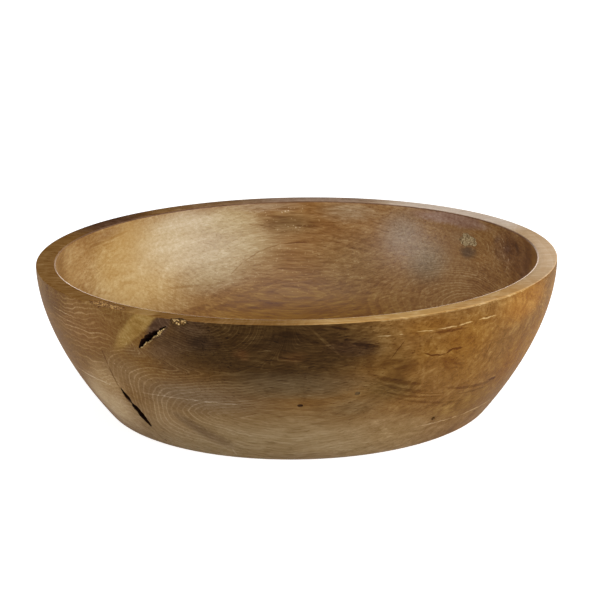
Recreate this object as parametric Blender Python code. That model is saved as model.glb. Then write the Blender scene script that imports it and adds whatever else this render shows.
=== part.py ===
"""A turned wooden fruit bowl. The wall and floor are one block of root wood, turned on a lathe, with two open
drying checks in the wall. The pin knots and the sawdust fills that sit in the wood are pieces of their own,
each let into a pocket. Metres, +Z up, with the origin at the middle of the foot."""

import math

import bmesh
import bpy
from mathutils import Matrix, Vector

# The turned shape
RIM_DIAMETER = 0.400
HEIGHT = 0.116
FOOT_DIAMETER = 0.297
RIM_WIDTH = 0.015
FLOOR_THICKNESS = 0.018
HEEL_WIDTH = 0.060  # from the foot's edge in to the level middle of the floor
FOOT_LEAN = math.radians(39)  # how far the wall leans out from upright where it leaves the foot
OUTSIDE_FOOT_PULL = 0.033  # how strongly the outside keeps that lean
OUTSIDE_RIM_PULL = 0.044  # how strongly the outside stays upright below the rim
INSIDE_RIM_PULL = 0.050
INSIDE_FLOOR_PULL = 0.070
RIM_EDGE_RADIUS = 0.0012
FOOT_EDGE_RADIUS = 0.003

# How finely the round stretches are divided
TURN_STEPS = 96
WALL_STEPS = 12
EDGE_STEPS = 3
KNOT_SIDES = 16
RAGGED_STEPS = 14

# What is let into the wood. Bearings go round from the front (-Y) towards the right (+X).
CLEARANCE = 0.0003  # between an inlaid piece and its pocket
PROUD = 0.004  # how far a cutter stands out of the surface that it cuts
KNOT_DEPTH = 0.011
KNOT_TAPER = 0.6  # a knot's inner end, as a share of its face
FILL_DEPTH = 0.007
RIM_FILL_DEPTH = 0.004

FRONT_KNOT = {"bearing": 0.3, "height": 0.053, "wide": 0.0042, "tall": 0.0030}
MIDDLE_KNOT = {"bearing": 12.5, "height": 0.061, "wide": 0.0034, "tall": 0.0036}
RIGHT_KNOT = {"bearing": 34.9, "height": 0.0265, "wide": 0.0030, "tall": 0.0040}

INNER_FILL = {"bearing": 128.5, "below_rim": 0.0205, "wide": 0.021, "tall": 0.010}
LEFT_RIM_FILL = {"bearing": -43.5, "wide": 0.022, "tall": 0.0075}
FRONT_RIM_FILL = {"bearing": -23.8, "wide": 0.012, "tall": 0.0060}

# The drying checks: a slant of 0 lies level, and a positive one climbs towards the right.
UPPER_CHECK = {"bearing": -30.6, "below_rim": 0.0150, "slant": math.radians(36)}
UPPER_CHECK_LENGTH = 0.031
UPPER_CHECK_WIDTH = 0.0066
UPPER_CHECK_DEPTH = 0.009
CHECK_FILL_WIDTH = 0.0024  # the crumbly strip along the upper check's lower lip
CHECK_FILL_STEPS = (4, 13)  # the ragged steps of the check at which that strip starts and ends

LOWER_CHECK = {"bearing": -43.0, "height": 0.0355, "slant": math.radians(-78)}
LOWER_CHECK_LENGTH = 0.037
LOWER_CHECK_WIDTH = 0.0030
LOWER_CHECK_DEPTH = 0.010

# Colours as linear RGB
WOOD_BROWN = (0.150, 0.082, 0.031)
FILL_GOLD = (0.360, 0.215, 0.075)
KNOT_DARK = (0.020, 0.011, 0.006)


def clear_scene():
    for old in list(bpy.data.objects):
        bpy.data.objects.remove(old)


def finish(name, colour, roughness):
    material = bpy.data.materials.new(name)
    material.use_nodes = True
    shader = material.node_tree.nodes["Principled BSDF"]
    shader.inputs["Base Color"].default_value = (*colour, 1)
    shader.inputs["Roughness"].default_value = roughness
    shader.inputs["Metallic"].default_value = 0
    return material


# The turned profile, as points (radius, height)
def bezier(start, pull_start, pull_end, end, t):
    s = 1 - t
    weights = (s**3, 3 * s * s * t, 3 * s * t * t, t**3)
    corners = (start, pull_start, pull_end, end)
    return tuple(sum(w * c[k] for w, c in zip(weights, corners)) for k in (0, 1))


def outside(t):
    """The outer wall, from the foot at 0 to the rim at 1."""
    foot, rim = FOOT_DIAMETER / 2, RIM_DIAMETER / 2
    lean = (foot + OUTSIDE_FOOT_PULL * math.sin(FOOT_LEAN), OUTSIDE_FOOT_PULL * math.cos(FOOT_LEAN))
    return bezier((foot, 0), lean, (rim, HEIGHT - OUTSIDE_RIM_PULL), (rim, HEIGHT), t)


def inside(t):
    """The inner wall, from the edge of the level floor at 0 to the rim at 1."""
    floor, rim = FOOT_DIAMETER / 2 - HEEL_WIDTH, RIM_DIAMETER / 2 - RIM_WIDTH
    sweep = (floor + INSIDE_FLOOR_PULL, FLOOR_THICKNESS)
    return bezier((floor, FLOOR_THICKNESS), sweep, (rim, HEIGHT - INSIDE_RIM_PULL), (rim, HEIGHT), t)


def share_at_height(wall, height):
    """Where along a wall curve that height is reached."""
    low, high = 0.0, 1.0
    for _ in range(50):
        middle = (low + high) / 2
        if wall(middle)[1] < height:
            low = middle
        else:
            high = middle
    return low


def wall_part(wall, first_height, last_height):
    """Points along a wall between two heights, both ends included."""
    a, b = share_at_height(wall, first_height), share_at_height(wall, last_height)
    return [wall(a + (b - a) * i / WALL_STEPS) for i in range(WALL_STEPS + 1)]


def quarter_round(before, corner, after):
    """The points that round off a corner, between the last point before it and the first one after it."""
    points = []
    for i in range(1, EDGE_STEPS):
        t = i / EDGE_STEPS
        weights = ((1 - t) ** 2, 2 * t * (1 - t), t * t)
        points.append(tuple(sum(w * p[k] for w, p in zip(weights, (before, corner, after))) for k in (0, 1)))
    return points


def turned_profile():
    """From the middle of the floor, up the inside, over the rim, down the outside and in to the middle of the foot."""
    rim, mouth, foot = RIM_DIAMETER / 2, RIM_DIAMETER / 2 - RIM_WIDTH, FOOT_DIAMETER / 2
    inner = wall_part(inside, FLOOR_THICKNESS, HEIGHT - RIM_EDGE_RADIUS)
    rim_in, rim_out = (mouth + RIM_EDGE_RADIUS, HEIGHT), (rim - RIM_EDGE_RADIUS, HEIGHT)
    outer = wall_part(outside, HEIGHT - RIM_EDGE_RADIUS, FOOT_EDGE_RADIUS)
    sole = (foot - FOOT_EDGE_RADIUS, 0)
    return [
        (0, FLOOR_THICKNESS),
        *inner,
        *quarter_round(inner[-1], (mouth, HEIGHT), rim_in),
        rim_in,
        rim_out,
        *quarter_round(rim_out, (rim, HEIGHT), outer[0]),
        *outer,
        *quarter_round(outer[-1], (foot, 0), sole),
        sole,
        (0, 0),
    ]


def turned_mesh():
    points = [(radius, 0, height) for radius, height in turned_profile()]
    mesh = bpy.data.meshes.new("turned_profile")
    mesh.from_pydata(points, [(i, i + 1) for i in range(len(points) - 1)], [])
    return mesh


def turned(name, mesh):
    thing = bpy.data.objects.new(name, mesh)
    bpy.context.scene.collection.objects.link(thing)
    lathe = thing.modifiers.new("lathe", "SCREW")
    lathe.axis = "Z"
    lathe.steps = lathe.render_steps = TURN_STEPS
    lathe.use_merge_vertices = True
    lathe.merge_threshold = 0.00001
    lathe.use_smooth_shade = True
    return thing


def helper(thing):
    """A cutter or guide, which is no piece of the bowl."""
    thing.hide_render = True
    thing.display_type = "WIRE"
    return thing


# Places on the surface
def place(bearing, radius, height, lean, slant=0.0):
    """A frame on the surface: Z points out of the wood, X runs level to the right and is then turned by slant.
    The lean is how far Z tips up from level."""
    turn = math.radians(bearing)
    out = Vector((math.sin(turn), -math.cos(turn), 0))
    along = Vector((math.cos(turn), math.sin(turn), 0))
    normal = out * math.cos(lean) + Vector((0, 0, math.sin(lean)))
    across = normal.cross(along)
    axes = Matrix((along, across, normal)).transposed().to_4x4()
    spot = out * radius + Vector((0, 0, height))
    return Matrix.Translation(spot) @ axes @ Matrix.Rotation(slant, 4, "Z")


def height_of(spec):
    return spec["height"] if "height" in spec else HEIGHT - spec["below_rim"]


def wall_place(wall, facing, spec):
    """A frame on the outer wall (facing 1) or the inner wall (facing -1) at a bearing and height."""
    t, step = share_at_height(wall, height_of(spec)), 0.001
    (r0, z0), (r1, z1) = wall(t - step), wall(t + step)
    radius, height = wall(t)
    lean = math.atan2(r0 - r1, z1 - z0)
    if facing < 0:
        lean = math.pi + lean
    return place(spec["bearing"], radius, height, lean, spec.get("slant", 0.0))


def rim_place(spec):
    """A frame on the rim's outer corner, pointing half out and half up."""
    return place(spec["bearing"], RIM_DIAMETER / 2, HEIGHT, math.radians(45))


# Shapes that are let into the wood, or cut out of it
def closed_piece(name, bm, frame):
    bmesh.ops.recalc_face_normals(bm, faces=bm.faces)
    mesh = bpy.data.meshes.new(name)
    bm.to_mesh(mesh)
    bm.free()
    mesh.shade_smooth()
    mesh.set_sharp_from_angle(angle=math.radians(35))
    thing = bpy.data.objects.new(name, mesh)
    thing.matrix_world = frame
    bpy.context.scene.collection.objects.link(thing)
    return thing


def prism(name, outline, depth, frame):
    """An outline pushed from above the surface down to a depth."""
    bm = bmesh.new()
    face = bm.faces.new([bm.verts.new((x, y, PROUD)) for x, y in outline])
    pushed = bmesh.ops.extrude_face_region(bm, geom=[face])["geom"]
    moved = [v for v in pushed if isinstance(v, bmesh.types.BMVert)]
    bmesh.ops.translate(bm, verts=moved, vec=(0, 0, -PROUD - depth))
    return closed_piece(name, bm, frame)


def oval_plug(name, wide, tall, depth, taper, frame):
    """A round plug that narrows inwards, squeezed to an oval."""
    bm = bmesh.new()
    bmesh.ops.create_cone(
        bm, cap_ends=True, segments=KNOT_SIDES, radius1=taper / 2, radius2=0.5, depth=depth + PROUD
    )
    bmesh.ops.scale(bm, vec=(wide, tall, 1), verts=bm.verts)
    bmesh.ops.translate(bm, vec=(0, 0, (PROUD - depth) / 2), verts=bm.verts)
    return closed_piece(name, bm, frame)


def ragged(t):
    """A torn edge's unevenness, from about 0.75 to 1.25."""
    return 1 + 0.15 * math.sin(23 * t + 0.6) + 0.1 * math.sin(41 * t + 2.0)


def check_half_width(t, width):
    """Half of a check's opening: blunt near its start, drawn to a point at its end."""
    return width / 2 * (math.sin(math.pi * t**0.7)) ** 0.7 * ragged(t)


def check_edge(side, length, width):
    """Points along one lip of a check, side 1 above and -1 below."""
    shares = [i / RAGGED_STEPS for i in range(RAGGED_STEPS + 1)]
    return [((t - 0.5) * length, side * check_half_width(t, width)) for t in shares]


def check_outline(length, width):
    below, above = check_edge(-1, length, width), check_edge(1, length, width)
    return below + above[-2:0:-1]


def strip_outline():
    """The strip of fill on the upper check's lower lip, a clearance away from it, pinched shut at its two ends."""
    first, last = CHECK_FILL_STEPS
    lip = check_edge(-1, UPPER_CHECK_LENGTH, UPPER_CHECK_WIDTH)
    seat = [(x, y + CLEARANCE) for x, y in lip[first : last + 1]]
    top = []
    for i, (x, y) in enumerate(seat):
        swell = math.sin(math.pi * i / (last - first)) ** 0.5
        top.append((x, y + CHECK_FILL_WIDTH * swell))
    return seat + top[-2:0:-1]


# The pieces
def inlay(name, make, frame, blank, bowl, material, sizes, depth):
    """A piece set flush into the wood, and the pocket that holds it with a clearance all round."""
    grown = [size + 2 * CLEARANCE for size in sizes]
    pocket = helper(make(name + "_pocket", *grown, depth + CLEARANCE, frame))
    cut(bowl, "DIFFERENCE", pocket)
    piece = make(name, *sizes, depth, frame)
    cut(piece, "INTERSECT", blank)
    piece.data.materials.append(material)
    return piece


def cut(thing, operation, cutter):
    boolean = thing.modifiers.new(cutter.name, "BOOLEAN")
    boolean.operation = operation
    boolean.solver = "EXACT"
    boolean.object = cutter


def knot_plug(name, wide, tall, depth, frame):
    return oval_plug(name, wide, tall, depth, KNOT_TAPER, frame)


def fill_plug(name, wide, tall, depth, frame):
    return oval_plug(name, wide, tall, depth, 1.0, frame)


def make_knots(blank, bowl):
    dark = finish("knot_wood", KNOT_DARK, 0.7)
    specs = {"front_pin_knot": FRONT_KNOT, "middle_pin_knot": MIDDLE_KNOT, "right_pin_knot": RIGHT_KNOT}
    for name, spec in specs.items():
        frame = wall_place(outside, 1, spec)
        inlay(name, knot_plug, frame, blank, bowl, dark, (spec["wide"], spec["tall"]), KNOT_DEPTH)


def make_fills(blank, bowl, gold):
    frame = wall_place(inside, -1, INNER_FILL)
    inlay("inner_fill", fill_plug, frame, blank, bowl, gold, (INNER_FILL["wide"], INNER_FILL["tall"]), FILL_DEPTH)
    for name, spec in {"left_rim_fill": LEFT_RIM_FILL, "front_rim_fill": FRONT_RIM_FILL}.items():
        sizes = (spec["wide"], spec["tall"])
        inlay(name, fill_plug, rim_place(spec), blank, bowl, gold, sizes, RIM_FILL_DEPTH)


def make_checks(blank, bowl, gold):
    upper = wall_place(outside, 1, UPPER_CHECK)
    opening = check_outline(UPPER_CHECK_LENGTH, UPPER_CHECK_WIDTH)
    cut(bowl, "DIFFERENCE", helper(prism("upper_check", opening, UPPER_CHECK_DEPTH, upper)))
    strip = prism("check_fill", strip_outline(), UPPER_CHECK_DEPTH - CLEARANCE, upper)
    cut(strip, "INTERSECT", blank)
    strip.data.materials.append(gold)

    lower = wall_place(outside, 1, LOWER_CHECK)
    slit = check_outline(LOWER_CHECK_LENGTH, LOWER_CHECK_WIDTH)
    cut(bowl, "DIFFERENCE", helper(prism("lower_check", slit, LOWER_CHECK_DEPTH, lower)))


def main():
    clear_scene()
    gold = finish("sawdust_fill", FILL_GOLD, 0.8)
    profile = turned_mesh()
    bowl = turned("bowl_body", profile)
    profile.materials.append(finish("turned_wood", WOOD_BROWN, 0.4))
    blank = helper(turned("blank", profile.copy()))
    make_knots(blank, bowl)
    make_fills(blank, bowl, gold)
    make_checks(blank, bowl, gold)


main()
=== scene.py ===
import math
import random

import bpy
from mathutils import Matrix, Vector


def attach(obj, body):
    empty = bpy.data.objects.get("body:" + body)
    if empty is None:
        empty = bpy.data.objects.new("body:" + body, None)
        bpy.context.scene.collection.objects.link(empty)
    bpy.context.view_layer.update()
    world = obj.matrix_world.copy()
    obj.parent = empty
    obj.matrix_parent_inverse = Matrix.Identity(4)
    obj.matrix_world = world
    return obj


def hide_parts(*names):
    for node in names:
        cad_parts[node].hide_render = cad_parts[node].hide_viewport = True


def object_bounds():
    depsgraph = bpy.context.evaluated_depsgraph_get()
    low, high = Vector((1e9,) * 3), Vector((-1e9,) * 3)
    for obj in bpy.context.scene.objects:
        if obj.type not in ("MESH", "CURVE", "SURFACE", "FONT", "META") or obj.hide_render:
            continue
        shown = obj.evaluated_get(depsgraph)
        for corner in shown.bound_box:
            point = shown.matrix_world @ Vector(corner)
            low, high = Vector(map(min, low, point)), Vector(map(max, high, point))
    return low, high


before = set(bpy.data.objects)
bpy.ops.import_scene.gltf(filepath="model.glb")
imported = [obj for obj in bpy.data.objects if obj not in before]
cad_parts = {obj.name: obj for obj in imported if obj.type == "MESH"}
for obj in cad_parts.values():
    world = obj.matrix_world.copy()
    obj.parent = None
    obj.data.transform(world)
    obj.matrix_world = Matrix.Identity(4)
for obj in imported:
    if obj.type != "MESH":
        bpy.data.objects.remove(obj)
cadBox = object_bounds()
rimRadius = cadBox[1].x
bowlHeight = cadBox[1].z


# Small helpers for working by operator

def deselectAll():
    if bpy.context.object and bpy.context.object.mode != "OBJECT":
        bpy.ops.object.mode_set(mode="OBJECT")
    bpy.ops.object.select_all(action="DESELECT")


def pick(piece):
    deselectAll()
    piece.select_set(True)
    bpy.context.view_layer.objects.active = piece


def editAll(piece):
    pick(piece)
    bpy.ops.object.mode_set(mode="EDIT")
    bpy.ops.mesh.select_mode(type="VERT")
    bpy.ops.mesh.select_all(action="SELECT")


def editSome(piece, kind, wanted):
    # opens the piece with only those points (VERT) or faces (FACE) selected that are wanted
    editAll(piece)
    bpy.ops.mesh.select_mode(type=kind)
    bpy.ops.mesh.select_all(action="DESELECT")
    bpy.ops.object.mode_set(mode="OBJECT")
    for part in piece.data.vertices if kind == "VERT" else piece.data.polygons:
        part.select = wanted(part)
    bpy.ops.object.mode_set(mode="EDIT")


def startShape(name, add, **settings):
    # a new shape to work on, at the origin unless its settings say otherwise
    deselectAll()
    add(**{"location": (0, 0, 0), **settings})
    made = bpy.context.object
    made.name = name
    return made


def turnOutward(piece):
    editAll(piece)
    bpy.ops.mesh.normals_make_consistent(inside=False)
    deselectAll()


def settle(piece):
    # leaves the piece at the origin, unturned and unscaled, with its place in its mesh
    pick(piece)
    bpy.ops.object.transform_apply(location=True, rotation=True, scale=True)


def join(pieces):
    deselectAll()
    for piece in pieces:
        piece.select_set(True)
    bpy.context.view_layer.objects.active = pieces[0]
    bpy.ops.object.join()
    return pieces[0]


def apply(piece, modifier):
    pick(piece)
    bpy.ops.object.modifier_apply(modifier=modifier.name)


def stretch(piece, x, y, z):
    editAll(piece)
    bpy.ops.transform.resize(value=(x, y, z), center_override=(0, 0, 0))


def pushFace(step):
    bpy.ops.mesh.extrude_region_move(TRANSFORM_OT_translate={"value": step})


def slide(piece, y, z):
    piece.data.transform(Matrix.Translation((0, y, z)))


def cutBowl(piece, cutter):
    cut = piece.modifiers.new("cut", "BOOLEAN")
    cut.operation = "DIFFERENCE"
    cut.solver = "EXACT"
    cut.material_mode = "TRANSFER"
    cut.object = cutter
    apply(piece, cut)
    bpy.data.objects.remove(cutter)


def paint(red, green, blue):
    # a colour as picked on screen, 0 to 255, made linear
    shares = [c / 255 for c in (red, green, blue)]
    linear = [c / 12.92 if c <= 0.04045 else ((c + 0.055) / 1.055) ** 2.4 for c in shares]
    return (*linear, 1)


def ripples(share, seed, waves, level=0):
    # an uneven line about a level; each wave has its size, its quickness and how far the seed shifts it
    for size, quick, shift in waves:
        level = level + size * math.sin(quick * share + shift * seed)
    return level


# Small helpers for node trees

def put(tree, kind, values=None, **looks):
    made = tree.nodes.new(kind)
    for name, value in looks.items():
        setattr(made, name, value)
    for socket, value in (values or {}).items():
        if isinstance(value, bpy.types.NodeSocket):
            tree.links.new(value, made.inputs[socket])
        else:
            made.inputs[socket].default_value = value
    return made


def work(tree, operation, *values):
    return put(tree, "ShaderNodeMath", dict(enumerate(values)), operation=operation).outputs[0]


def workVector(tree, operation, *values):
    return put(tree, "ShaderNodeVectorMath", dict(enumerate(values)), operation=operation).outputs[0]


def measure(tree, operation, *values):
    return put(tree, "ShaderNodeVectorMath", dict(enumerate(values)), operation=operation).outputs["Value"]


def smooth(tree, value, low, high):
    # 0 at low and 1 at high, eased at both ends
    span = {"Value": value, "From Min": low, "From Max": high}
    return put(tree, "ShaderNodeMapRange", span, interpolation_type="SMOOTHSTEP").outputs[0]


def mixValue(tree, share, low, high):
    return put(tree, "ShaderNodeMix", {0: share, 2: low, 3: high}).outputs[0]


def mixColour(tree, share, low, high):
    return put(tree, "ShaderNodeMix", {0: share, 6: low, 7: high}, data_type="RGBA").outputs[2]


def noisy(tree, place, scale, detail, crisp=0.5):
    values = {"Vector": place, "Scale": scale, "Detail": detail, "Roughness": crisp}
    return put(tree, "ShaderNodeTexNoise", values).outputs


def stretched(tree, place, size):
    return put(tree, "ShaderNodeMapping", {"Vector": place, "Scale": size}).outputs[0]


def objectPlace(tree):
    return put(tree, "ShaderNodeTexCoord").outputs["Object"]


def dress(tree, shader, colour, gloss, height, strength, distance):
    # gives a shader its colour, its gloss and the bump that a height makes
    tree.links.new(colour, shader.inputs["Base Color"])
    shader.inputs["Specular IOR Level"].default_value = gloss
    bump = put(tree, "ShaderNodeBump", {"Height": height, "Strength": strength, "Distance": distance})
    tree.links.new(bump.outputs[0], shader.inputs["Normal"])


def newGroup(name, takes, gives):
    group = bpy.data.node_groups.new(name, "ShaderNodeTree")
    for socket, kind in takes.items():
        group.interface.new_socket(socket, in_out="INPUT", socket_type="NodeSocket" + kind)
    for socket, kind in gives.items():
        group.interface.new_socket(socket, in_out="OUTPUT", socket_type="NodeSocket" + kind)
    return group, put(group, "NodeGroupInput").outputs, put(group, "NodeGroupOutput").inputs


def useGroup(tree, group, values):
    return put(tree, "ShaderNodeGroup", values, node_tree=group).outputs


def newMaterial(name):
    made = bpy.data.materials.new(name)
    made.use_nodes = True
    return made, made.node_tree, made.node_tree.nodes["Principled BSDF"]


# The turned bowl

bowl = {
    "turnSteps": 480,
    "footRadius": 0.1485,
    "rimWidth": 0.015,
    "floorThickness": 0.018,
    "floorRadius": 0.0885,
    "footLean": math.radians(39),
    "outsideFootPull": 0.033,
    "outsideRimPull": 0.044,
    "insideRimPull": 0.050,
    "insideFloorPull": 0.070,
    "rimEdge": 0.0012,
    "easedWidth": 0.0065,  # the rim's top falls away towards the mouth
    "easedDrop": 0.0010,
    "lipWidth": 0.0013,
    "footEdge": 0.003,
    "edgeSteps": 5,
    "outsideSteps": 58,
    "insideSteps": 72,
    "floorSteps": 22,
    "soleSteps": 12,
    "rimSteps": 24,
    "smoothAngle": math.radians(35),
    "startSize": 0.01,
    "mergeWithin": 0.00001,
}


def curvePoint(a, b, c, d, t):
    s = 1 - t
    return a * s**3 + b * (3 * s * s * t) + c * (3 * s * t * t) + d * t**3


def outsidePoint(t):
    # up the outer wall, as (radius, height)
    foot = Vector((bowl["footRadius"], 0))
    lean = Vector((math.sin(bowl["footLean"]), math.cos(bowl["footLean"])))
    rim = Vector((rimRadius, bowlHeight))
    down = Vector((0, bowl["outsideRimPull"]))
    return curvePoint(foot, foot + lean * bowl["outsideFootPull"], rim - down, rim, t)


def insidePoint(t):
    # up the inner wall, from the edge of the level floor
    floor = Vector((bowl["floorRadius"], bowl["floorThickness"]))
    mouth = Vector((rimRadius - bowl["rimWidth"], bowlHeight))
    sweep = Vector((bowl["insideFloorPull"], 0))
    down = Vector((0, bowl["insideRimPull"]))
    return curvePoint(floor, floor + sweep, mouth - down, mouth, t)


def shareAt(wall, height):
    # how far along its curve the wall reaches a height, found by halving
    low, high = 0.0, 1.0
    for halving in range(40):
        middle = (low + high) / 2
        low, high = (middle, high) if wall(middle).y < height else (low, middle)
    return low


def wallRun(wall, firstHeight, lastHeight, steps):
    a, b = shareAt(wall, firstHeight), shareAt(wall, lastHeight)
    return [wall(a + (b - a) * i / steps) for i in range(steps + 1)]


def roundedCorner(before, corner, after):
    steps = bowl["edgeSteps"]
    shares = [i / steps for i in range(1, steps)]
    return [before * (1 - t) ** 2 + corner * (2 * t * (1 - t)) + after * t * t for t in shares]


def levelRun(first, last, height, steps):
    return [Vector((first + (last - first) * i / steps, height)) for i in range(steps + 1)]


def rimRun(mouth):
    run = levelRun(rimRadius - bowl["rimEdge"], mouth + bowl["rimEdge"] / 2, bowlHeight, bowl["rimSteps"])
    for point in run:
        eased = max(0, 1 - (point.x - mouth) / bowl["easedWidth"])
        point.y -= bowl["easedDrop"] * eased * eased
    return run


def bowlProfile():
    # from the middle of the sole, out and up the outside, over the rim and down to the middle of the floor
    foot, mouth = bowl["footRadius"], rimRadius - bowl["rimWidth"]
    sole = levelRun(0, foot - bowl["footEdge"], 0, bowl["soleSteps"])
    outside = wallRun(outsidePoint, bowl["footEdge"], bowlHeight - bowl["rimEdge"], bowl["outsideSteps"])
    rim = rimRun(mouth)
    lip = rim[-1].y
    inside = wallRun(insidePoint, lip - bowl["rimEdge"] / 2, bowl["floorThickness"], bowl["insideSteps"])
    floor = levelRun(bowl["floorRadius"], 0, bowl["floorThickness"], bowl["floorSteps"])
    return [
        *sole,
        *roundedCorner(sole[-1], Vector((foot, 0)), outside[0]),
        *outside,
        *roundedCorner(outside[-1], Vector((rimRadius, bowlHeight)), rim[0]),
        *rim,
        *roundedCorner(rim[-1], Vector((mouth, lip)), inside[0]),
        *inside,
        *floor[1:],
    ]


def turnBowl():
    piece = startShape("turned_bowl", bpy.ops.mesh.primitive_plane_add, size=bowl["startSize"])
    editAll(piece)
    bpy.ops.mesh.merge(type="CENTER")  # one point is left, to draw the profile with
    points = bowlProfile()
    for here, there in zip(points, points[1:]):
        step = there - here
        bpy.ops.mesh.extrude_vertices_move(TRANSFORM_OT_translate={"value": (step.x, 0, step.y)})
    bpy.ops.mesh.select_all(action="SELECT")
    bpy.ops.mesh.spin(steps=bowl["turnSteps"], angle=math.tau, center=(0, 0, 0), axis=(0, 0, 1))
    bpy.ops.mesh.select_all(action="SELECT")
    bpy.ops.mesh.remove_doubles(threshold=bowl["mergeWithin"])
    bpy.ops.mesh.normals_make_consistent(inside=False)
    deselectAll()
    print("turned the bowl:", len(piece.data.polygons), "faces")
    return piece


# Small bits are modelled flat at the origin, x to the right, y up and z out of the wood,
# and then bent onto the wall

def turnedPoint(bearing, radius, height):
    return Vector((radius * math.sin(bearing), -radius * math.cos(bearing), height))


def wallAt(wall, height):
    # the wall's profile at a height: the point there, the way up along it and the way out of the wood
    nudge = 0.001
    share = min(max(shareAt(wall, height), nudge), 1 - nudge)
    up = (wall(share + nudge) - wall(share - nudge)).normalized()
    out = Vector((up.y, -up.x)) if wall is outsidePoint else Vector((-up.y, up.x))
    return wall(share), up, out


def upTheWall(wall, height):
    rise = wallAt(wall, height)[1].y

    def at(y):
        point, up, out = wallAt(wall, height + y * rise)
        return point, out

    return at


def overTheRim():
    # from the outer wall below 0, over the rim's outer corner, to the flat top above 0
    half = bowl["rimEdge"]
    corner = Vector((rimRadius, bowlHeight))

    def at(y):
        lean = min(max((y + half) / (2 * half), 0), 1) * math.pi / 2
        point = corner + Vector((-max(y, 0), min(y, 0)))
        return point, Vector((math.cos(lean), math.sin(lean)))

    return at


def bendOnto(piece, surface, bearing, turn=0):
    tilt = Matrix.Rotation(math.radians(turn), 4, "Z")
    for vertex in piece.data.vertices:
        flat = tilt @ vertex.co
        point, out = surface(flat.y)
        spot = point + out * flat.z
        vertex.co = turnedPoint(math.radians(bearing) + flat.x / point.x, spot.x, spot.y)
    piece.data.update()


# The two drying checks, cut as ragged slots that narrow inwards

checks = {
    # each step goes deeper: how deep, how much of the width is left, and how far it slides aside
    "upper": {
        "bearing": -30.4, "height": 0.1006, "turn": 37, "long": 0.0325, "wide": 0.0058,
        "crook": 0.0006, "waist": 0, "tooth": 0.00045, "ragged": 0.00006, "seed": 5,
        "steps": [(0.004, 0.78, -0.0010), (0.003, 0.62, -0.0012), (0.003, 0.5, -0.0004)],
    },
    "lower": {
        "bearing": -42.9, "height": 0.0345, "turn": 104, "long": 0.0395, "wide": 0.0072,
        "crook": 0.0004, "waist": 0.75, "tooth": 0.0002, "ragged": 0.00006, "seed": 8,
        "steps": [(0.004, 0.85, 0.0002), (0.005, 0.6, 0.0003)],
    },
}
checkOutline = {
    "points": 84,
    "proud": 0.003,
    "thinEnd": 0.45,
    "waistAt": 0.62,
    "waistLong": 0.07,
    "drawnIn": 0.94,  # the length that each step keeps
    "crookWaves": [(1, 7, 1), (0.5, 19, 2), (0.12, 53, 0)],
    "widthWaves": [(0.12, 23, 1), (0.07, 61, 0)],
    "toothWaves": [(1, 41, 1), (0.6, 97, 0)],
}


def crookAt(check, share):
    # a check wanders to and fro along its length
    return check["crook"] * ripples(share, check["seed"], checkOutline["crookWaves"])


def halfWidthAt(check, share):
    # blunt at one end, drawn out at the other, and uneven between
    oval = math.sqrt(max(1 - (2 * share - 1) ** 2, 0)) * (1 - checkOutline["thinEnd"] * share * share)
    waist = check["waist"] * math.exp(-((share - checkOutline["waistAt"]) / checkOutline["waistLong"]) ** 2)
    uneven = ripples(share, check["seed"], checkOutline["widthWaves"], 1)
    return check["wide"] / 2 * oval * (1 - waist) * uneven


def toothAt(check, share):
    # splinters along the upper lip, none at its ends
    splinter = ripples(share, check["seed"], checkOutline["toothWaves"])
    return check["tooth"] * splinter * 4 * share * (1 - share)


def checkCutter(name, check):
    outline = {"vertices": checkOutline["points"], "radius": 0.5, "fill_type": "NGON"}
    cutter = startShape(name + "_check_cutter", bpy.ops.mesh.primitive_circle_add, **outline)
    proud = checkOutline["proud"]
    for vertex in cutter.data.vertices:
        share = vertex.co.x + 0.5
        half = halfWidthAt(check, share)
        if vertex.co.y > 0:
            half += toothAt(check, share)
        vertex.co.y = math.copysign(half, vertex.co.y) + crookAt(check, share)
    stretch(cutter, check["long"], 1, 1)
    bpy.ops.transform.vertex_random(offset=check["ragged"], seed=check["seed"])
    bpy.ops.transform.translate(value=(0, 0, proud))
    pushFace((0, 0, -proud))
    shift = 0
    for deep, narrow, aside in check["steps"]:
        shift += aside
        pushFace((0, aside, -deep))
        bpy.ops.transform.resize(value=(checkOutline["drawnIn"], narrow, 1), center_override=(0, shift, 0))
        bpy.ops.transform.vertex_random(offset=check["ragged"], seed=check["seed"] + 1)
    turnOutward(cutter)
    bendOnto(cutter, upTheWall(outsidePoint, check["height"]), check["bearing"], check["turn"])
    return cutter


# Pockets and the crumbs of sawdust that fill them

fills = {
    "left_rim_crumbs": {
        "node": "left_rim_fill", "on": "rim", "bearing": -43.0, "lift": 0.0044,
        "long": 0.0360, "wide": 0.0112, "sunk": 0.0003, "grain": 0.0012,
        "crumbs": 70, "crumb": (0.0004, 0.0009), "seed": 21,
        "dust": "redSawdust", "bed": "redBed", "pocket": ((104, 70, 38), (140, 98, 54)),
    },
    "front_rim_crumbs": {
        "node": "front_rim_fill", "on": "rim", "bearing": -23.8, "lift": -0.0010,
        "long": 0.0136, "wide": 0.0080, "sunk": 0.0006, "grain": 0.0015,
        "crumbs": 15, "crumb": (0.0007, 0.0014), "seed": 22,
        "dust": "creamSawdust", "bed": "darkBed", "pocket": ((56, 40, 24), (92, 66, 38)),
    },
    "inner_crumbs": {
        "node": "inner_fill", "on": "inside", "bearing": 128.5, "height": 0.0955, "lift": 0,
        "long": 0.0205, "wide": 0.0100, "sunk": 0.0001, "grain": 0.0015,
        "crumbs": 46, "crumb": (0.0005, 0.0011), "seed": 23,
        "dust": "greySawdust", "bed": "greySawdust", "pocket": ((124, 96, 62), (152, 120, 82)),
    },
}
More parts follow.
